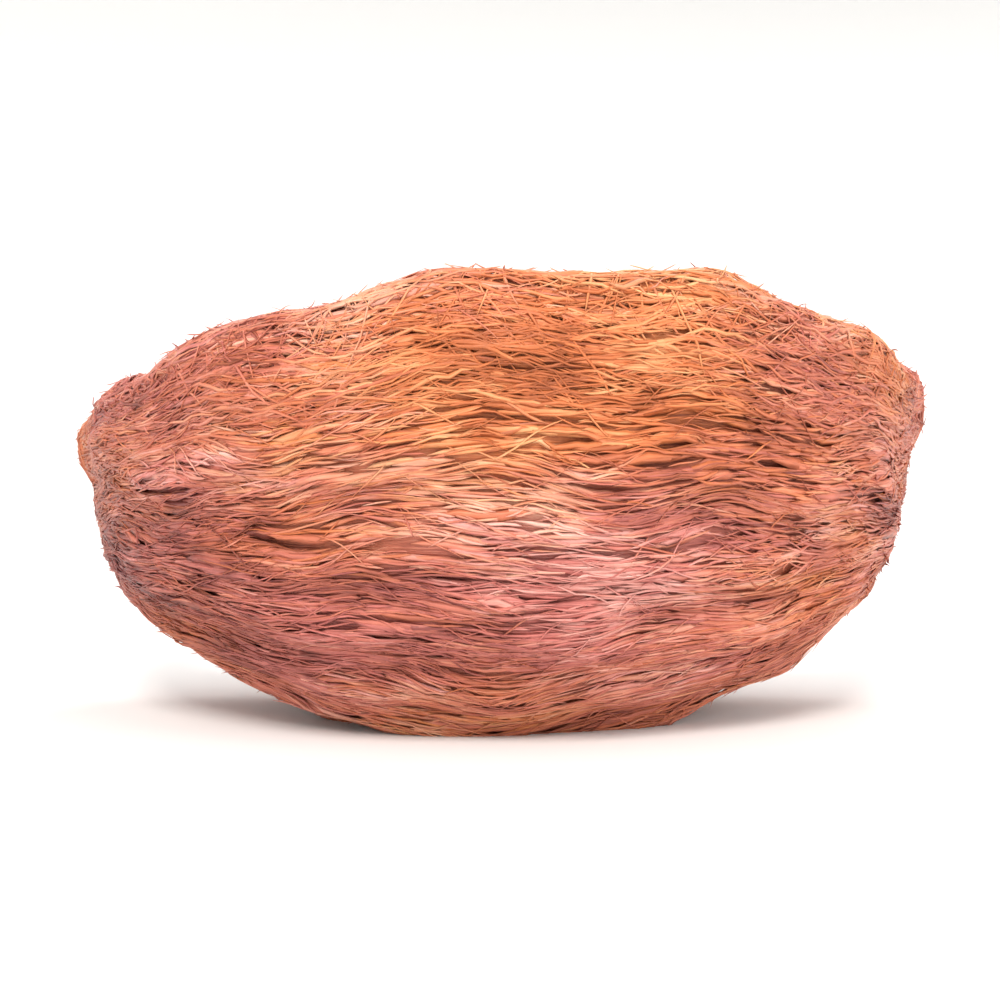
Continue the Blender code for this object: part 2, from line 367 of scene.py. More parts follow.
def cupFine(turn, share, deep=True):
    # fine relief of the inside: dents, and where deep, ridges in crossing directions with pits between them
    f = cupRelief
    along, across = alongAcross(turn, share)
    total = layeredNoise(0.0, (f["dent"],), along, across, f["dentSeed"])
    if deep:
        for k, (size, longWay, wide, slant) in enumerate(f["weave"]):
            u = along * math.cos(slant) + across * math.sin(slant)
            v = across * math.cos(slant) - along * math.sin(slant)
            v = layeredNoise(v, (f["bend"],), u, v, f["bendSeed"] + k)
            total = total + size * ridgedNoise(u / longWay, v / wide, f["weaveSeed"] + k)
        pits = valueNoise(along / f["pitLong"], across / f["pitWide"], f["pitSeed"])
        total = total - f["pit"] * smoothStep((pits - f["pitFrom"]) / f["pitRise"]) - f["sunk"]
    return total * mm * smoothStep(share / f["wallFade"]) * footFade(turn)


def unit(vectors):
    # each vector over its length
    return vectors / np.maximum(np.linalg.norm(vectors, axis=-1, keepdims=True), 1e-12)


turnStep, shareStep = 0.01, 0.012  # to both sides, for the slopes of the surface


def surfacePoint(turn, share, inside, lift=0.0, relief="deep"):
    # a point of the finished surface and its outward normal: broad form, plus fine relief and lift along the
    # normal, which is the cross product of the broad form's two slopes. relief is deep, calm or none
    turn, share = np.broadcast_arrays(np.asarray(turn, float), np.asarray(share, float))
    here = shellPoint(turn, share, inside)
    slopeTurn = shellPoint(np.minimum(turn + turnStep, math.pi), share, inside) - shellPoint(
        np.maximum(turn - turnStep, 0), share, inside)
    slopeShare = shellPoint(turn, np.minimum(share + shareStep, 1), inside) - shellPoint(
        turn, np.maximum(share - shareStep, 0), inside)
    normal = unit(np.cross(slopeTurn, slopeShare) if inside else np.cross(slopeShare, slopeTurn))
    if relief != "none":
        lift = lift + (cupFine if inside else bellyFine)(turn, share, relief == "deep")
    here = here + normal * np.asarray(lift)[..., None]
    return here + shellShift, normal


rimRelief = {"waves": ((0.32 * mm, 8.0, 3.0), (0.38 * mm, 2.6, 6.0)), "seed": 31}  # size, mm along, per roll


def rollPoint(turn, roll, relief="deep"):
    # over the rim: a straight line from the outer to the inner edge, plus height sin(pi roll) to a power
    outer = surfacePoint(turn, 1.0, False, relief=relief)[0]
    inner = surfacePoint(turn, 1.0, True, relief=relief)[0]
    turn, roll = np.broadcast_arrays(np.asarray(turn, float), np.asarray(roll, float))
    roll = np.clip(roll, 0, 1)
    here = outer + (inner - outer) * roll[..., None]
    crest = np.clip(np.sin(math.pi * roll), 0, 1)
    fromWall = (here[..., 1] - wallY) / nestForm["padDepth"]
    height = nestForm["rimRoll"] + nestForm["footRoll"] * np.exp(-fromWall ** 2)
    here[..., 2] += height * crest ** nestForm["rollPower"]
    if relief == "deep":
        here[..., 2] -= bellyRelief["sunk"] * mm * crest
    if relief != "none":
        along = (turn - math.pi / 2) * reachMm(1.0)
        for k, (size, longWay, turns) in enumerate(rimRelief["waves"]):
            here[..., 2] += size * crest * valueNoise(along / longWay, roll * turns, rimRelief["seed"] + k)
    return here


def domeShare(share):
    # how much of the roll's height the wall face has, a smooth step towards the top of a foot
    return smoothStep((share - nestForm["domeFrom"]) / (1 - nestForm["domeFrom"]))


def keepOnWall(points):
    # nothing reaches through the wall face or below the flat spot
    points[..., 1] = np.minimum(points[..., 1], wallY)
    points[..., 2] = np.maximum(points[..., 2], 0.0)
    return points


# 3. Colour fields, from 0 to 1: tone is dark to pale, amber is rosy to orange

colourPlan = {
    "patches": (  # middle turn, middle share, spread of both, change of tone, change of amber
        (0.47, 0.89, 0.13, 0.08, 0.00, 0.80), (0.62, 0.71, 0.07, 0.06, -0.10, 0.10),
        (0.78, 0.65, 0.12, 0.18, -0.28, -0.52), (0.22, 0.74, 0.14, 0.14, 0.00, 0.30),
        (0.55, 0.54, 0.10, 0.06, -0.05, 0.00), (0.45, 0.69, 0.13, 0.12, 0.19, -0.70),
        (0.70, 0.84, 0.07, 0.06, 0.08, 0.10), (0.93, 0.60, 0.08, 0.30, -0.12, -0.30)),
    # the means, and the size, length along and length across of the noise
    "tone": 0.46, "toneNoise": ((0.17, 13, 7), (0.13, 6, 1.9), (0.08, 3.5, 0.8)), "toneSeed": 11,
    "amber": 0.48, "amberNoise": ((0.32, 17, 9), (0.20, 7, 2.5)), "amberSeed": 14,
    # a painted highlight along the top of the rim from rimFrom up, and painted shade in the slits
    "rimHighlight": 0.15, "rimFrom": 0.93, "slitShade": 0.42,
}


def colourFields(turn, share, inside=False):
    # noise in a few sizes, plus bell-shaped patches; a painted highlight pales the top of the rim, and
    # painted shade darkens the slits on the outside
    f = colourPlan
    along, across = alongAcross(turn, share)
    tone = layeredNoise(f["tone"], f["toneNoise"], along, across, f["toneSeed"])
    amber = layeredNoise(f["amber"], f["amberNoise"], along, across, f["amberSeed"])
    for middleTurn, middleShare, spreadTurn, spreadShare, toneStep, amberStep in f["patches"]:
        near = np.exp(-((turn / math.pi - middleTurn) / spreadTurn) ** 2
                      - ((share - middleShare) / spreadShare) ** 2)
        tone = tone + toneStep * near
        amber = amber + amberStep * near
    # painted highlight: the tone grows paler over the top of the rim
    tone = tone + f["rimHighlight"] * smoothStep((share - f["rimFrom"]) / (1 - f["rimFrom"]))
    if not inside:
        # painted shade: the tone falls where the slits open
        tone = tone - f["slitShade"] * slitFields(along, across)[0]
    return tone, amber


# 4. Meshes from arrays

def addMesh(name, points, quads, fields, triangles=np.zeros((0, 3), int)):
    # quads and triangles from arrays; all are turned outwards if the enclosed volume comes out negative
    points = np.ascontiguousarray(points, float)
    volume = 0.0
    for corners in (quads[:, :3], quads[:, [0, 2, 3]], triangles):
        a, b, c = (points[corners[:, i]] for i in range(3))
        volume += (np.cross(a, b) * c).sum()
    if volume < 0:
        quads, triangles = quads[:, ::-1], triangles[:, ::-1]
    loops = np.concatenate([quads.ravel(), triangles.ravel()])
    starts = np.concatenate([np.arange(0, quads.size, 4), quads.size + np.arange(0, triangles.size, 3)])
    mesh = bpy.data.meshes.new(name)
    mesh.vertices.add(len(points))
    mesh.vertices.foreach_set("co", points.ravel())
    mesh.loops.add(len(loops))
    mesh.loops.foreach_set("vertex_index", loops)
    mesh.polygons.add(len(starts))
    mesh.polygons.foreach_set("loop_start", starts)
    mesh.update(calc_edges=True)
    mesh.validate()
    mesh.shade_smooth()
    for key, values in fields.items():
        if values.ndim == 1:
            mesh.attributes.new(key, "FLOAT", "POINT").data.foreach_set("value", values)
        else:
            mesh.attributes.new(key, "FLOAT_VECTOR", "POINT").data.foreach_set("vector", values.ravel())
    piece = bpy.data.objects.new(name, mesh)
    bpy.context.scene.collection.objects.link(piece)
    print(name, "has", 2 * len(quads) + len(triangles), "triangles")
    return piece


def gridFaces(index):
    # quads between neighbours of a two-way array of vertex numbers
    return np.stack([index[:-1, :-1], index[1:, :-1], index[1:, 1:], index[:-1, 1:]], axis=-1).reshape(-1, 4)


shellMesh = {
    "stations": 190, "rows": 132, "edge": 14,  # steps round, points up a side, and steps across an edge
    "wallPit": 0.9 * mm, "pitRange": (0.7, 0.3), "pitX": 2.2 * mm, "pitZ": 0.9 * mm, "pitSeed": 34,
    # the step by which the shell's tone is lowered: painted shade for the gaps between the strands, where
    # alone the shell shows
    "gapShade": 0.15,
}


def wallDepth(u, v, across, seed):
    # how deep the wall face lies behind its edges: noise times the square root of sin(pi across)
    least, change = shellMesh["pitRange"]
    pit = shellMesh["wallPit"] * (least + change * valueNoise(u, v, seed))
    return pit * np.sin(math.pi * across) ** 0.5


def makeShell():
    # rings of the wall's cross-section: up the outside, over the rim, down the inside and along the strip
    f = shellMesh
    rows, edge = f["rows"], f["edge"]
    turns = np.linspace(0, math.pi, f["stations"] + 1)[:, None]
    up = np.linspace(0, 1, rows)[None, :]
    across = np.arange(1, edge)[None, :] / edge
    outside = surfacePoint(turns, up, False)[0]
    inside = surfacePoint(turns, up[:, ::-1], True)[0]
    strip = inside[:, -1:] + (outside[:, :1] - inside[:, -1:]) * across[..., None]
    strip[..., 1] = wallY - wallDepth(
        strip[..., 0] / f["pitX"], strip[..., 2] / f["pitZ"], across, f["pitSeed"])
    rings = keepOnWall(np.concatenate([outside, rollPoint(turns, across), inside, strip], axis=1))
    rings[0, :1 - edge, 1] = rings[-1, :1 - edge, 1] = wallY
    stationCount, ringCount = rings.shape[:2]
    index = np.arange(stationCount * ringCount).reshape(stationCount, ringCount)
    faces = [gridFaces(np.concatenate([index, index[:, :1]], axis=1))]
    points = [rings.reshape(-1, 3)]
    shares = np.concatenate([up[0], np.ones(edge - 1), up[0, ::-1], np.zeros(edge - 1)])
    turnFields = [np.broadcast_to(turns, rings.shape[:2]).ravel()]
    shareFields = [np.broadcast_to(shares, rings.shape[:2]).ravel()]

    # each foot's wall face is a grid between the outer and the inner rows
    total = stationCount * ringCount
    innerRows = slice(rows + edge - 1, 2 * rows + edge - 1)
    for station, flip in ((0, False), (stationCount - 1, True)):
        ring = index[station]
        face = np.zeros((rows, edge + 1), int)
        face[:, 0], face[:, -1] = ring[:rows], ring[innerRows][::-1]
        face[-1, 1:-1] = ring[rows:rows + edge - 1]
        face[0, 1:-1] = ring[2 * rows + edge - 1:][::-1]
        middle = np.arange(total, total + (rows - 2) * (edge - 1)).reshape(rows - 2, edge - 1)
        face[1:-1, 1:-1] = middle
        total += middle.size
        outer = rings[station, :rows][1:-1, None]
        inner = rings[station, innerRows][::-1][1:-1, None]
        patch = outer + (inner - outer) * across[0][None, :, None]
        outerTop, innerTop = outside[station, -1, 2], inside[station, 0, 2]
        dome = rings[station, rows:rows + edge - 1, 2] - (outerTop + (innerTop - outerTop) * across[0])
        patch[..., 2] += dome * domeShare(up[0, 1:-1, None])
        patch[..., 1] = wallY - wallDepth(
            patch[..., 2] / f["pitZ"], patch[..., 0] / f["pitX"], across, f["pitSeed"] + 1 + station)
        points.append(patch.reshape(-1, 3))
        turnFields.append(np.full(middle.size, turns[station, 0]))
        shareFields.append(np.repeat(up[0, 1:-1], edge - 1))
        capFaces = gridFaces(face)
        faces.append(capFaces[:, ::-1] if flip else capFaces)
    turnField, shareField = np.concatenate(turnFields), np.concatenate(shareFields)
    tone, amber = colourFields(turnField, shareField)
    along, across = alongAcross(turnField, shareField)
    grain = np.stack([along, across, np.zeros_like(along)], axis=-1)
    # the shell's tone is lowered by painted shade, so that the gaps between the strands look dark
    return addMesh("nest_shell", np.concatenate(points), np.concatenate(faces),
                   {"tone": tone - f["gapShade"], "amber": amber, "grain": grain})


strandMesh = {
    "rings": 7, "sides": 3, "thinnest": 0.006,  # the last one as a share of the width
    "widthTaper": 0.45, "heightTaper": 0.4,  # powers: lower ones keep a strand full up to its ends
    "grainStart": 900, "sideGrain": 0.2,
}
strandTone = {
    "tone": 0.08, "amber": 0.15,  # spread from strand to strand
    # the paler strands are painted highlights; those with a lower tone keep the strands' own colour
    "paleHighlight": (0.10, 0.15), "dark": (0.08, 0.13),  # share of the strands and change of tone
}
ringPlaces = np.linspace(0, 1, strandMesh["rings"])[None, :]


def carryStrands(name, paths, normals, widths, heights, tones, ambers):
    # a tube along each path, closed at both ends: ring = path + side cos(a) width/2 + up sin(a) height/2
    sides = strandMesh["sides"]
    paths = keepOnWall(paths)
    count, rings = paths.shape[:2]
    ahead = unit(np.gradient(paths, axis=1))
    side = unit(np.cross(ahead, normals))
    upward = np.cross(side, ahead)
    angles = math.pi / 2 + 2 * math.pi * np.arange(sides) / sides
    skin = (paths[:, :, None] + side[:, :, None] * (widths / 2)[..., None, None] * np.cos(angles)[:, None]
            + upward[:, :, None] * (heights / 2)[..., None, None] * np.sin(angles)[:, None])
    skin = keepOnWall(skin)
    index = np.arange(count * rings * sides).reshape(count, rings, sides)
    nextSide = np.roll(index, -1, axis=2)
    body = np.stack([index[:, :-1], index[:, 1:], nextSide[:, 1:], nextSide[:, :-1]], axis=-1).reshape(-1, 4)
    ends = np.concatenate([index[:, 0], index[:, -1, ::-1]])
    steps = np.linalg.norm(np.diff(paths, axis=1, prepend=paths[:, :1]), axis=-1)
    start = np.random.default_rng(count).uniform(0, strandMesh["grainStart"], count)[:, None]
    lengthGrain = (np.cumsum(steps, axis=1) / mm + start)[..., None]
    sideGrain = np.arange(sides) * strandMesh["sideGrain"] + start[..., None]
    grain = np.stack(np.broadcast_arrays(lengthGrain, sideGrain, 0.0), axis=-1)
    spread = (count, rings, sides)
    return addMesh(name, skin.reshape(-1, 3), body, {
        "tone": np.broadcast_to(tones[..., None], spread).ravel(),
        "amber": np.broadcast_to(ambers[..., None], spread).ravel(), "grain": grain.reshape(-1, 3)}, ends)


def taper(t, power):
    # nearly 0 at both ends of a strand and 1 in its middle, as a power of 4t(1 - t)
    return np.clip(4 * t * (1 - t), strandMesh["thinnest"], 1) ** power


def looseEnd(t, start):
    # 0 up to the start, and then a smooth step squared
    return smoothStep((t - start) / (1 - start)) ** 2


def drawBetween(draw, low, high):
    # one random number between each low and high, as a column
    return (low + (high - low) * draw.random(len(low)))[:, None]


def drawSkewed(draw, span, power, total):
    # random numbers in a span, as a power of even ones, so that most are small
    return span[0] + (span[1] - span[0]) * draw.random(total) ** power


def drawKinds(draw, kinds, total):
    # picks a kind for each strand by its share, and returns which kind each is and its row of numbers
    rows = np.array([row for row in kinds.values()], float)
    kind = draw.choice(len(rows), total, p=rows[:, 0] / rows[:, 0].sum())
    return kind, rows[kind]


def drawShares(draw, low, high, total):
    # random shares whose number at each share grows with the length of the line there
    steps = np.linspace(low, high, 200)
    count = np.cumsum(reachMm(steps))
    return np.interp(draw.random(total), (count - count[0]) / (count[-1] - count[0]), steps)


def strandTones(draw, tone, amber, total):
    # every strand has a tone of its own; a few are much paler, as painted highlights on the fibres, and a
    # few have a much lower tone
    f = strandTone
    # a share of the strands is made paler as a painted highlight
    own = draw.normal(0.0, f["tone"], total) + np.where(draw.random(total) < f["paleHighlight"][0], f["paleHighlight"][1], 0.0)
    own = own - np.where(draw.random(total) < f["dark"][0], f["dark"][1], 0.0)
    return tone + own[:, None], amber + draw.normal(0.0, f["amber"], total)[:, None]


shell = makeShell()


# 5. Strands on the belly

bellyStrands = {
    "perPiece": 5200,
    "kinds": {  # share, then low and high of length, width and height in mm, slope, wave, and loose ends
        "ribbon": (0.27, 5.0, 14.0, 0.50, 1.15, 0.14, 0.24, 0.06, 0.14, 0.02),
        "fibre": (0.59, 3.0, 9.0, 0.20, 0.44, 0.12, 0.22, 0.12, 0.14, 0.10),
        "stray": (0.14, 2.0, 7.0, 0.12, 0.26, 0.10, 0.16, 0.42, 0.20, 0.40),
    },
    "lengthPower": 1.5, "waveSize": (0.3, 1.2), "waveLength": (3.5, 8.0), "bulge": (0.2, 7),
    "rest": (-0.04, 0.07, 0.14), "restSpread": 0.14,  # mm above the shell, by kind
    "lift": 0.75, "looseLeast": 0.15, "looseFrom": 0.65, "footCalm": 0.25,  # loose ends, none near the wall
    "wallGap": 0.006, "turnGap": 0.002, "shareGap": 0.006,
    "pieces": {  # seed, and lowest and highest share
        "belly_strands_upper": (101, 0.56, 1.0),
        "belly_strands_lower": (102, 0.01, 0.58),
    },
}


def makeBellyStrands(name, seed, lowShare, highShare):
    # each strand follows the flow of the shell's ridges, with a slope and a sine wave of its own, and gives
    # way to the slits
    f, draw = bellyStrands, np.random.default_rng(seed)
    n, t = f["perPiece"], ringPlaces
    kind, row = drawKinds(draw, f["kinds"], n)
    share = drawShares(draw, lowShare, highShare, n)
    length = drawSkewed(draw, (row[:, 1], row[:, 2]), f["lengthPower"], n)
    slope, waveSize = draw.normal(0, row[:, 7]), row[:, 8] * draw.uniform(*f["waveSize"], n)
    waveLength, phase = draw.uniform(*f["waveLength"], n), draw.uniform(0, 2 * math.pi, n)
    widest = (math.pi / 2 - f["wallGap"]) * reachMm(share) - length / 2
    along0 = np.clip(draw.uniform(-1, 1, n) * (math.pi / 2) * reachMm(share), -widest, widest)
    across0 = share * strandFlow["profileMm"]
    s = (t - 0.5) * length[:, None]
    along = along0[:, None] + s
    across = (across0[:, None] + slope[:, None] * s
              + waveSize[:, None] * np.sin(2 * math.pi * s / waveLength[:, None] + phase[:, None]))
    across = across - wander(along, across) + wander(along0, across0)[:, None]
    across = giveWay(along, across)
    strandShare = np.clip(across / strandFlow["profileMm"], f["shareGap"], 1.0)
    strandTurn = np.clip(along / reachMm(strandShare) + math.pi / 2, f["turnGap"], math.pi - f["turnGap"])
    bulge, beat = f["bulge"]
    wide = drawBetween(draw, row[:, 3], row[:, 4]) * taper(t, strandMesh["widthTaper"])
    wide = wide * (1 + bulge * np.sin(beat * t + phase[:, None]))
    thick = drawBetween(draw, row[:, 5], row[:, 6]) * taper(t, strandMesh["heightTaper"])
    isLoose = draw.random(n) < row[:, 9]
    loose = np.where(isLoose, draw.uniform(f["looseLeast"], 1, n), 0)[:, None] * f["lift"]
    loose = loose * smoothStep((math.pi / 2 - np.abs(strandTurn - math.pi / 2)) / f["footCalm"])
    rest = np.array(f["rest"])[kind][:, None] + f["restSpread"] * draw.random(n)[:, None]
    lift = rest + loose * looseEnd(t, f["looseFrom"])
    points, normals = surfacePoint(strandTurn, strandShare, False, lift * mm, "calm")
    tone, amber = strandTones(draw, *colourFields(strandTurn, strandShare), n)
    return carryStrands(name, points, normals, wide * mm, thick * mm, tone, amber)


bellyPieces = [makeBellyStrands(name, *row) for name, row in bellyStrands["pieces"].items()]


# 6. The rim: strands along it, strands that wind over it, and frayed ends

rimStrands = {
    "count": 4200, "seed": 203,
    "kinds": {  # share, then low and high of length, width and height in mm, angle to the rim, and stand
        "along": (0.56, 4.0, 14.0, 0.20, 0.60, 0.14, 0.26, 0.10, 0.0),
        "over": (0.24, 3.0, 8.0, 0.18, 0.45, 0.12, 0.22, 0.75, 0.0),
        "fray": (0.20, 0.8, 2.6, 0.10, 0.20, 0.08, 0.16, 0.60, 0.42),
    },
    "girthMm": 21.0, "rollFrom": 0.35, "rollTo": 0.65,  # length of the girth, and where the roll is on it
    "belowRim": 0.12,  # how far down both sides the rim strands reach, as a share
    "overPlace": (0.46, 0.16),  # where on the girth all but the first kind lie, and their spread
    "wave": 0.16, "waveLength": (3, 7), "wavePhase": 6, "turnSpread": 1.57, "wallGap": 0.006,
    "atWall": 0.07, "wallTurn": (0.003, 0.05), "wallAngle": 0.2,  # those that cross the rim at the wall
    "standPower": 1.5, "standCurve": 1.4, "looseShare": 0.15, "looseLift": 0.6, "looseFrom": 0.6,
    "rest": 0.05, "restSpread": 0.22, "amberStep": 0.05,
    "slopeTurn": 0.012, "slopeGirth": 0.03,
}


def acrossRim(turn, girth, lift=0.0):
    # girth 0 is low on the outside, then comes the roll, and 1 is low on the inside; the normal is the cross
    # product of the slopes along and across the rim
    f = rimStrands
    rollFrom, rollTo = f["rollFrom"], f["rollTo"]

    def place(turn, girth, relief):
        turn, girth = np.broadcast_arrays(np.clip(turn, 0, math.pi), np.clip(girth, 0, 1))
        outerShare = 1 - f["belowRim"] * np.clip(1 - girth / rollFrom, 0, 1)
        innerShare = 1 - f["belowRim"] * np.clip((girth - rollTo) / (1 - rollTo), 0, 1)
        outer = surfacePoint(turn, outerShare, False, relief=relief)[0]
        inner = surfacePoint(turn, innerShare, True, relief=relief)[0]
        over = rollPoint(turn, (girth - rollFrom) / (rollTo - rollFrom), relief)
        side = girth[..., None]
        return np.where(side < rollFrom, outer, np.where(side > rollTo, inner, over))

    ahead = place(turn + f["slopeTurn"], girth, "none") - place(turn - f["slopeTurn"], girth, "none")
    across = place(turn, girth + f["slopeGirth"], "none") - place(turn, girth - f["slopeGirth"], "none")
    normal = unit(np.cross(across, ahead))
    return place(turn, girth, "calm") + normal * np.asarray(lift)[..., None], normal


def makeRimStrands():
    # each strand leaves its place on the rim at an angle, by cosine along it and by sine across it
    f, draw = rimStrands, np.random.default_rng(rimStrands["seed"])
    n, t = f["count"], ringPlaces
    kind, row = drawKinds(draw, f["kinds"], n)
    length = drawBetween(draw, row[:, 1], row[:, 2])
    angle = draw.normal(0, row[:, 7])[:, None]
    heading = draw.choice([-1.0, 1.0], n)[:, None]
    girth = np.where(kind == 0, draw.uniform(0.0, 1.0, n), draw.normal(*f["overPlace"], n))[:, None]
    s = (t - 0.5) * length
    waveLength = draw.uniform(*f["waveLength"], n)[:, None]
    wave = f["wave"] * np.sin(2 * math.pi * s / waveLength + draw.uniform(0, f["wavePhase"], n)[:, None])
    widest = math.pi / 2 - f["wallGap"] - length / 2 / reachMm(1.0)
    turn = draw.uniform(-f["turnSpread"], f["turnSpread"], n)[:, None]
    turn = math.pi / 2 + np.clip(turn, -widest, widest)
    atWall = draw.random(n)[:, None] < f["atWall"]
    wallTurn = math.pi / 2 + heading * (math.pi / 2 - draw.uniform(*f["wallTurn"], n)[:, None])
    turn = np.where(atWall, wallTurn, turn)
    angle = np.where(atWall, math.pi / 2 + f["wallAngle"] * angle, angle)
    fray = np.where(atWall, 0, row[:, 8:9])
    turnPath = turn + heading * s * np.cos(angle) / reachMm(1.0)
    girthPath = np.clip(girth + (s * np.sin(angle) + wave) / f["girthMm"], 0.0, 1.0)
    stand = fray * draw.random(n)[:, None] ** f["standPower"] * length * t ** f["standCurve"]
    isLoose = draw.random(n) < f["looseShare"]
    loose = np.where(isLoose, f["looseLift"] * draw.random(n), 0)[:, None] * looseEnd(t, f["looseFrom"])
    lift = f["rest"] + f["restSpread"] * draw.random(n)[:, None] + np.where(fray > 0, stand, loose)
    points, normals = acrossRim(turnPath, girthPath, lift * mm)
    wide = drawBetween(draw, row[:, 3], row[:, 4]) * taper(t, strandMesh["widthTaper"])
    thick = drawBetween(draw, row[:, 5], row[:, 6]) * taper(t, strandMesh["heightTaper"])
    share = 1 - f["belowRim"] * np.clip(np.abs(girthPath - 0.5) / 0.5, 0, 1)
    tone, amber = strandTones(draw, *colourFields(turnPath, share, True), n)
    return carryStrands("rim_strands", points, normals, wide * mm, thick * mm, tone, amber + f["amberStep"])


rimPiece = makeRimStrands()


# 7. The inside: threads that lie on the cup in all directions, and a web that spans its corners

cupWeb = {
    "seed": 304, "shares": (0.02, 0.99), "turns": (0.01, 0.99), "shareGap": (0.008, 0.998), "turnGap": 0.004,
    "liningCount": 4000, "liningLength": (4.0, 15.0), "lengthPower": 1.4,
    "width": (0.18, 0.70), "widthPower": 2.2, "height": (0.12, 0.26),
    "webCount": 1000, "webSpan": (4.0, 14.0), "webWidth": (0.12, 0.32),
    "webPull": (0.30, 0.65),  # share of the way to the chord
    "webNeck": 0.75, "webRoot": 0.6, "webThick": 0.7,  # shares of a web thread's width
    "footWeb": 0.55, "footTurns": ((0.02, 0.2), (0.8, 0.98)),  # share of the web at the feet, and where
    "slope": 0.45, "crossing": 0.3, "crossAngle": 1.5,  # spread of the angles, and those at any angle
    "bend": 0.05, "wave": (0.2, 1.1, 20),
    "rest": 0.04, "restSpread": 0.20, "archLift": 0.3, "archPower": 4,
    "colourShare": 0.9, "toneStep": -0.04,
}


def makeCupWeb():
    # lining threads follow a line in along and across with a bend; web threads are pulled towards the chord
    # between two such places
    f, draw = cupWeb, np.random.default_rng(cupWeb["seed"])
    total, t = f["liningCount"] + f["webCount"], ringPlaces
    isWeb = np.arange(total) >= f["liningCount"]
    share = drawShares(draw, *f["shares"], total)
    turn = draw.uniform(*f["turns"], total) * math.pi
    atRight = draw.random(total) < 0.5
    nearFoot = np.where(atRight, *(draw.uniform(*span, total) for span in f["footTurns"]))
    turn = np.where(isWeb & (draw.random(total) < f["footWeb"]), nearFoot * math.pi, turn)
    length = np.where(isWeb, draw.uniform(*f["webSpan"], total),
                      drawSkewed(draw, f["liningLength"], f["lengthPower"], total))
    angle = draw.normal(0, f["slope"], total)
    isCrossing = draw.random(total) < f["crossing"]
    angle = angle + np.where(isCrossing, draw.uniform(-f["crossAngle"], f["crossAngle"], total), 0)
    bend = draw.normal(0, f["bend"], total)
    s = (t - 0.5) * length[:, None]
    along0, across0 = alongAcross(turn, share)
    heading = angle[:, None] + bend[:, None] * s
    size, pitch, scatter = f["wave"]
    along = along0[:, None] + s * np.cos(heading)
    across = across0[:, None] + s * np.sin(heading) + size * np.sin(s * pitch + scatter * bend[:, None])
    pathShare = np.clip(across / strandFlow["profileMm"], *f["shareGap"])
    pathTurn = np.clip(along / reachMm(pathShare) + math.pi / 2, f["turnGap"], math.pi - f["turnGap"])
    lift = f["rest"] + f["restSpread"] * draw.random(total)[:, None]
    lift = lift + f["archLift"] * (draw.random(total)[:, None] ** f["archPower"]) * np.sin(math.pi * t)
    points, normals = surfacePoint(pathTurn, pathShare, True, lift * mm, "calm")
    chord = points[:, :1] + (points[:, -1:] - points[:, :1]) * t[..., None]
    pull = drawSkewed(draw, f["webPull"], 1, total)[:, None, None]
    points = np.where(isWeb[:, None, None], points + (chord - points) * pull, points)
    wide = np.where(isWeb, draw.uniform(*f["webWidth"], total),
                    drawSkewed(draw, f["width"], f["widthPower"], total))[:, None]
    webShape = f["webNeck"] + f["webRoot"] * np.abs(2 * t - 1) ** 3
    wide = wide * np.where(isWeb[:, None], webShape, taper(t, strandMesh["widthTaper"]))
    height = draw.uniform(*f["height"], total)[:, None] * taper(t, strandMesh["heightTaper"])
    thick = np.where(isWeb[:, None], wide * f["webThick"], height)
    tone, amber = strandTones(draw, *colourFields(pathTurn, pathShare * f["colourShare"], True), total)
    return carryStrands("cup_web", points, normals, wide * mm, thick * mm, tone + f["toneStep"], amber)


cupPiece = makeCupWeb()


# 8. The wall face: strands pressed flat against the wall, down one foot, along the bottom and up the other

wallStrands = {
    "seed": 405, "width": (0.25, 0.80), "height": (0.14, 0.24), "taper": 0.4,
    "sunk": (0.02, 0.40), "bottomThick": 2.6,  # how far below the wall plane, and thickness of the bottom
    "count": 1500, "length": (2.0, 11.0), "slope": 0.28, "gap": 0.02,
    "footCount": 700, "footLength": (2.0, 7.0), "footSlope": 0.45, "footGap": 0.03,  # those across the feet
    "footReach": 15.0, "footPower": 1.5, "footNarrow": 0.7,
    "footThick": 11.0, "footFrom": 17, "footRise": 16,  # a foot's thickness, and where it begins
    "wave": (0.2, 1.3, 40), "gapsInside": (0.02, 0.98), "endGap": 0.1,
    "crest": 0.15, "crestFrom": 0.97,  # lift over the tops of the feet
    "pathPoints": 160, "pathPower": 3, "colourDrift": 0.03, "toneStep": 0.08, "amberStep": -0.1,
}


def wallPath():
    # turn, share and length in mm of the outer edge: down one foot, along the bottom and up the other foot
    count = wallStrands["pathPoints"]
    climb = np.linspace(1, 0, count) ** wallStrands["pathPower"]
    share = np.concatenate([climb, np.zeros(count), climb[::-1]])
    turn = math.pi * np.concatenate([np.zeros(count), np.linspace(0, 1, count), np.ones(count)])
    edge = surfacePoint(turn, share, False, relief="none")[0]
    length = np.cumsum(np.linalg.norm(np.diff(edge, axis=0, prepend=edge[:1]), axis=1)) / mm
    return turn, share, length


def wallPoint(u, b):
    # u runs in mm round the outer edge of the wall face; b is 0 at that edge and 1 at the inner one, and the
    # point is on the straight line between the two, plus the roll's height near the top of a foot
    turns, shares, lengths = wallPath()
    turn, share = np.interp(u, lengths, turns), np.interp(u, lengths, shares)
    outer = surfacePoint(turn, share, False, relief="none")[0]
    inner = surfacePoint(turn, share, True, relief="none")[0]
    here = outer + (inner - outer) * b[..., None]
    dome = (nestForm["rimRoll"] + nestForm["footRoll"]) * np.sin(math.pi * b) ** nestForm["rollPower"]
    here[..., 2] += dome * domeShare(share)
    here[..., 1] = wallY
    return here, turn, share


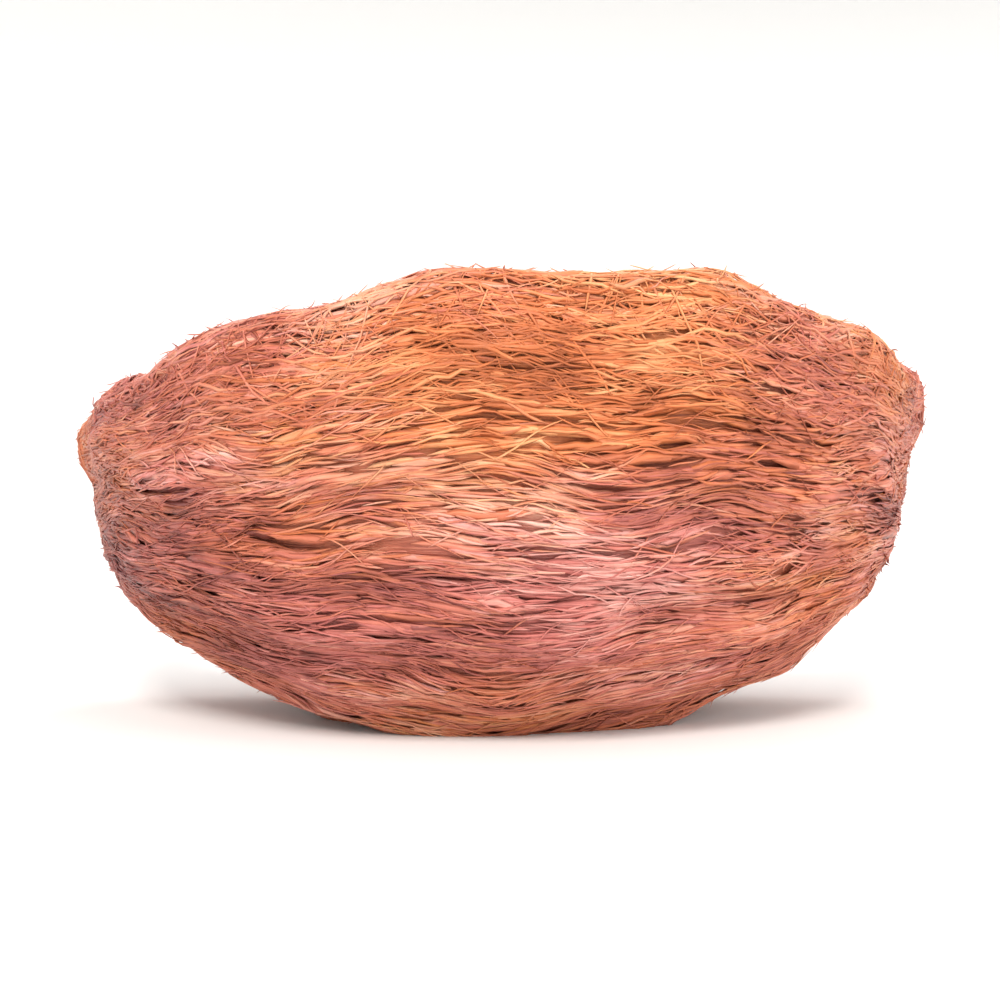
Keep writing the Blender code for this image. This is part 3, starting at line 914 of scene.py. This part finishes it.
def makeWallStrands():
    # each strand lies just under the wall plane: the long ones run round the wall face with a slope of their
    # own, and the short ones cross the tops of the feet
    f, draw = wallStrands, np.random.default_rng(wallStrands["seed"])
    n, t = f["count"] + f["footCount"], ringPlaces
    crossing = (np.arange(n) >= f["count"])[:, None]
    whole = wallPath()[2][-1]
    length = np.where(crossing, draw.uniform(*f["footLength"], (n, 1)), draw.uniform(*f["length"], (n, 1)))
    heading = draw.normal(0, np.where(crossing, f["footSlope"], f["slope"]))
    heading = heading + np.where(crossing, math.pi / 2, 0)
    fromTop = f["footReach"] * draw.random((n, 1)) ** f["footPower"]
    middle = np.where(draw.random((n, 1)) < 0.5, fromTop, whole - fromTop)
    middle = np.where(crossing, middle, np.clip(draw.random((n, 1)) * whole, length / 2, whole - length / 2))
    s = (t - 0.5) * length
    u = np.clip(middle + s * np.cos(heading), f["endGap"], whole - f["endGap"])
    onFoot = smoothStep((np.abs(u - whole / 2) - f["footFrom"]) / f["footRise"])
    faceThick = f["bottomThick"] + (f["footThick"] - f["bottomThick"]) * onFoot
    edge = np.where(crossing, f["footGap"] + length / 2 / f["footThick"], f["gap"])
    size, pitch, scatter = f["wave"]
    sideways = s * np.sin(heading) + size * np.sin(u * pitch + scatter * heading)
    b = edge + (1 - 2 * edge) * draw.random((n, 1)) + sideways / faceThick
    points, turn, share = wallPoint(u, np.clip(b, *f["gapsInside"]))
    points[..., 1] -= draw.uniform(*f["sunk"], n)[:, None] * mm
    points[..., 2] += f["crest"] * mm * smoothStep((share - f["crestFrom"]) / (1 - f["crestFrom"]))
    normals = np.broadcast_to(np.array([0.0, 1.0, 0.0]), points.shape)
    wide = draw.uniform(*f["width"], n)[:, None] * taper(t, f["taper"])
    wide = wide * np.where(crossing, f["footNarrow"], 1)
    thick = draw.uniform(*f["height"], n)[:, None] * taper(t, f["taper"])
    tone, amber = strandTones(draw, *colourFields(turn + u * f["colourDrift"], share, True), n)
    return carryStrands("wall_strands", points, normals, wide * mm, thick * mm,
                        tone + f["toneStep"], amber + f["amberStep"])


wallPiece = makeWallStrands()


# 9. The material

strandFinish = {
    "rosy": ((0.16, 0.028, 0.026), (0.59, 0.175, 0.145), (0.92, 0.50, 0.43)),  # dark, middle, pale
    "orange": ((0.20, 0.040, 0.014), (0.65, 0.185, 0.060), (0.92, 0.48, 0.22)),
    # bump, strength of the streaks, and their scale along and across the grain; the shell's are the finer
    "shellLook": (0.35 * mm, 1.10, (0.30, 6.5, 1)),
    "strandLook": (0.12 * mm, 0.55, (0.35, 3.2, 1)),
    "streakDetail": 3, "mottleScale": 420, "mottleDetail": 4, "mottle": 0.35, "mottleBump": 0.5,
    "roughLeast": 0.35, "roughStreaks": 0.3, "specular": 0.45, "bumpStrength": 0.6,
}


def makeStrandMaterial(name, bumpDepth, streaks, streakScale):
    # tone plus streaks and mottling picks a colour on two ramps, and amber mixes the two
    f = strandFinish
    material = bpy.data.materials.new(name)
    material.use_nodes = True
    nodes, links = material.node_tree.nodes, material.node_tree.links
    shader = nodes["Principled BSDF"]

    def attribute(name):
        node = nodes.new("ShaderNodeAttribute")
        node.attribute_name = name
        return node

    def noise(vector, scale, detail, stretch=(1, 1, 1)):
        mapping = nodes.new("ShaderNodeMapping")
        mapping.inputs["Scale"].default_value = stretch
        links.new(vector, mapping.inputs["Vector"])
        node = nodes.new("ShaderNodeTexNoise")
        node.inputs["Scale"].default_value = scale
        node.inputs["Detail"].default_value = detail
        links.new(mapping.outputs["Vector"], node.inputs["Vector"])
        return node.outputs["Fac"]

    def blend(kind, a, b):
        node = nodes.new("ShaderNodeMath")
        node.operation = kind
        for socket, value in zip(node.inputs, (a, b)):
            if isinstance(value, (int, float)):
                socket.default_value = value
            else:
                links.new(value, socket)
        return node.outputs["Value"]

    def aroundHalf(value, size):
        return blend("MULTIPLY", blend("SUBTRACT", value, 0.5), size)

    def ramp(value, colours):
        node = nodes.new("ShaderNodeValToRGB")
        stops = node.color_ramp.elements
        stops[0].position, stops[1].position = 0.0, 1.0
        stops.new(0.5)
        for stop, colour in zip(stops, colours):
            stop.color = (*colour, 1)
        links.new(value, node.inputs["Fac"])
        return node.outputs["Color"]

    fibre = noise(attribute("grain").outputs["Vector"], 1.0, f["streakDetail"], streakScale)
    place = nodes.new("ShaderNodeTexCoord").outputs["Object"]
    mottle = noise(place, f["mottleScale"], f["mottleDetail"])
    tone = blend("ADD", attribute("tone").outputs["Fac"], aroundHalf(fibre, streaks))
    tone = blend("ADD", tone, aroundHalf(mottle, f["mottle"]))
    mix = nodes.new("ShaderNodeMix")
    mix.data_type = "RGBA"
    links.new(attribute("amber").outputs["Fac"], mix.inputs["Factor"])
    links.new(ramp(tone, f["rosy"]), mix.inputs["A"])
    links.new(ramp(tone, f["orange"]), mix.inputs["B"])
    links.new(mix.outputs["Result"], shader.inputs["Base Color"])

    rough = blend("ADD", blend("MULTIPLY", fibre, f["roughStreaks"]), f["roughLeast"])
    links.new(rough, shader.inputs["Roughness"])
    shader.inputs["Specular IOR Level"].default_value = f["specular"]
    bump = nodes.new("ShaderNodeBump")
    bump.inputs["Strength"].default_value = f["bumpStrength"]
    bump.inputs["Distance"].default_value = bumpDepth
    links.new(blend("ADD", fibre, blend("MULTIPLY", mottle, f["mottleBump"])), bump.inputs["Height"])
    links.new(bump.outputs["Normal"], shader.inputs["Normal"])
    return material


shellSkin = makeStrandMaterial("mattedStrands", *strandFinish["shellLook"])
driedStrands = makeStrandMaterial("driedStrands", *strandFinish["strandLook"])
for piece in (shell, *bellyPieces, rimPiece, cupPiece, wallPiece):
    piece.data.materials.append(shellSkin if piece is shell else driedStrands)
    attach(piece, "root")
    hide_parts("nest")
print("material made")


# 10. Floor, light and camera

studio = {
    "floorStart": 0.001, "floorRadius": 0.25, "bendRadius": 1.0, "wallHeight": 1.1,
    "floorRings": 12, "bendRings": 20, "floorSides": 96,
    "floorColour": (0.91, 0.905, 0.895, 1), "floorRoughness": 0.85,
    "lights": {  # place, size, power in watts, and colour
        "keyLight": ((-0.06, -0.46, 0.52), 0.28, 3.5, (1, 0.97, 0.93)),
        "fillLight": ((0.55, -0.30, 0.30), 0.3, 1.0, (1, 1, 1)),
        "backLight": ((0.10, 0.45, 0.50), 0.3, 1.3, (1, 1, 1)),
    },
    "lightAim": (0, 0, 0.02), "worldColour": (1, 0.99, 0.98, 1), "worldLight": 0.90,
    "bounces": 4, "diffuseBounces": 3,
    "lens": 90, "sensor": 36, "elevation": 4.0, "nestShare": 0.84, "clip": (0.01, 10),
}


def makeFloor():
    # a round floor whose edge bends up as a quarter circle into a wall, turned round the vertical axis
    f = studio
    sides, edge = f["floorSides"], f["floorRadius"] + f["bendRadius"]
    bend = np.linspace(0, math.pi / 2, f["bendRings"])
    flat = np.linspace(f["floorStart"], f["floorRadius"], f["floorRings"])
    radius = np.concatenate([flat, f["floorRadius"] + f["bendRadius"] * np.sin(bend[1:]), [edge]])
    rise = f["bendRadius"] * (1 - np.cos(bend[1:]))
    height = np.concatenate([np.zeros(f["floorRings"]), rise, [f["wallHeight"]]])
    around = np.linspace(0, 2 * math.pi, sides + 1)[:-1]
    points = np.stack([radius[:, None] * np.cos(around), radius[:, None] * np.sin(around),
                       np.broadcast_to(height[:, None], (len(radius), sides))], axis=-1)
    index = np.arange(len(radius) * sides).reshape(len(radius), sides)
    faces = gridFaces(np.concatenate([index, index[:, :1]], axis=1))
    mesh = bpy.data.meshes.new("floor")
    mesh.from_pydata(points.reshape(-1, 3).tolist(), [], faces.tolist() + [index[0, ::-1].tolist()])
    mesh.shade_smooth()
    floor = bpy.data.objects.new("floor", mesh)
    bpy.context.scene.collection.objects.link(floor)
    material = bpy.data.materials.new("paleFloor")
    material.use_nodes = True
    shader = material.node_tree.nodes["Principled BSDF"]
    shader.inputs["Base Color"].default_value = f["floorColour"]
    shader.inputs["Roughness"].default_value = f["floorRoughness"]
    mesh.materials.append(material)


def addLight(name, place, size, power, colour):
    # a soft round light that looks at the middle of the nest
    light = bpy.data.lights.new(name, "AREA")
    light.shape, light.size, light.energy, light.color = "DISK", size, power, colour
    lamp = bpy.data.objects.new(name, light)
    lamp.location = place
    aim = Vector(studio["lightAim"]) - Vector(place)
    lamp.rotation_euler = aim.to_track_quat("-Z", "Y").to_euler()
    bpy.context.scene.collection.objects.link(lamp)


def lightWorld():
    # even pale light from all sides
    world = bpy.data.worlds.new("studio")
    bpy.context.scene.world = world
    world.use_nodes = True
    background = world.node_tree.nodes["Background"]
    background.inputs["Color"].default_value = studio["worldColour"]
    background.inputs["Strength"].default_value = studio["worldLight"]


def makeCamera():
    # straight in front and a little above, so far off that the nest is nestShare of the picture's width
    f = studio
    data = bpy.data.cameras.new("camera")
    data.lens, data.sensor_width = f["lens"], f["sensor"]
    data.clip_start, data.clip_end = f["clip"]
    camera = bpy.data.objects.new("camera", data)
    middle = (np.array(cadLow) + np.array(cadHigh)) / 2
    distance = (cadHigh.x - cadLow.x) / f["nestShare"] / (f["sensor"] / f["lens"]) - cadHigh.y
    lift = math.radians(f["elevation"])
    camera.location = middle + distance * np.array([0, -math.cos(lift), math.sin(lift)])
    camera.rotation_euler = (math.pi / 2 - lift, 0, 0)
    bpy.context.scene.collection.objects.link(camera)
    bpy.context.scene.camera = camera


makeFloor()
for name, row in studio["lights"].items():
    addLight(name, *row)
makeCamera()
lightWorld()
bpy.context.scene.view_settings.view_transform = "Standard"
bpy.context.scene.cycles.max_bounces = studio["bounces"]
bpy.context.scene.cycles.diffuse_bounces = studio["diffuseBounces"]
print("studio made")
